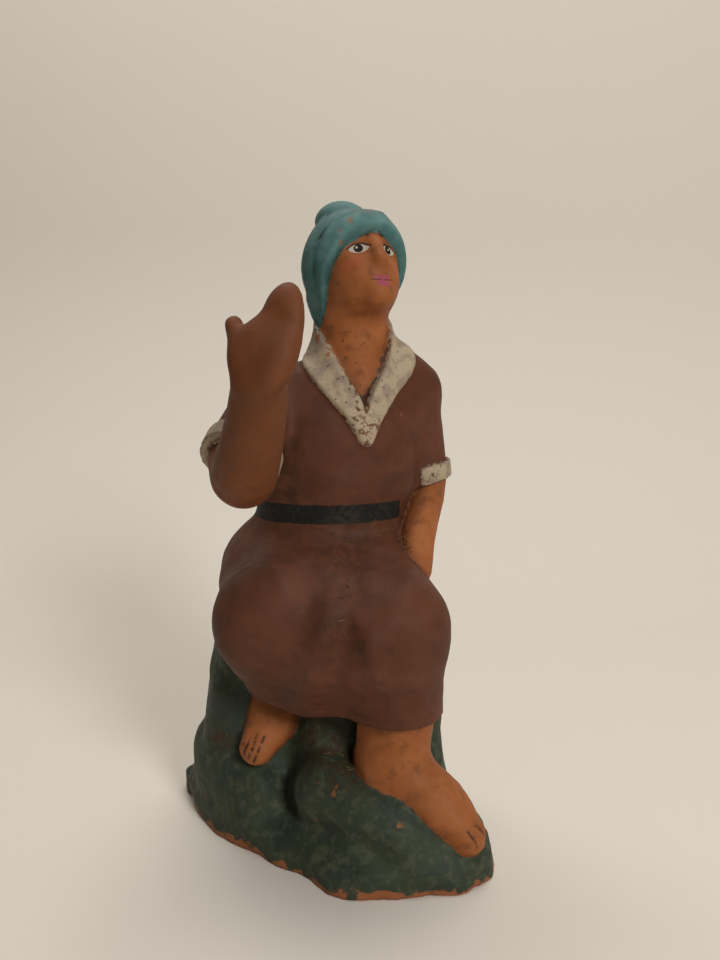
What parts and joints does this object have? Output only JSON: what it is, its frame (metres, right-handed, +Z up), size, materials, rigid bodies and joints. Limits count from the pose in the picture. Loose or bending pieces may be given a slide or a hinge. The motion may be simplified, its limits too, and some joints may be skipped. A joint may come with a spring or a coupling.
{
  "type": "nativity figure",
  "caption": "Seated peasant figure of painted terracotta on a rock, in a headscarf and belted tunic, one hand raised; a free-standing crib figure.",
  "frame": {"origin": "on the flat underside of the rock, about its middle", "axes": "+Z up through the standing figure, -Y out of the lap and the raised hand, +X to the figure's own left (the viewer's right)"},
  "size_m": [0.046, 0.0454, 0.0895],
  "materials": {
    "painted_terracotta": "matt hand-painted terracotta: brown tunic, bare brown skin, teal headscarf, off-white collar and cuffs, black belt, dark green rock"
  },
  "bodies": {
    "root": {"figure": "painted_terracotta"}
  },
  "joints": []
}
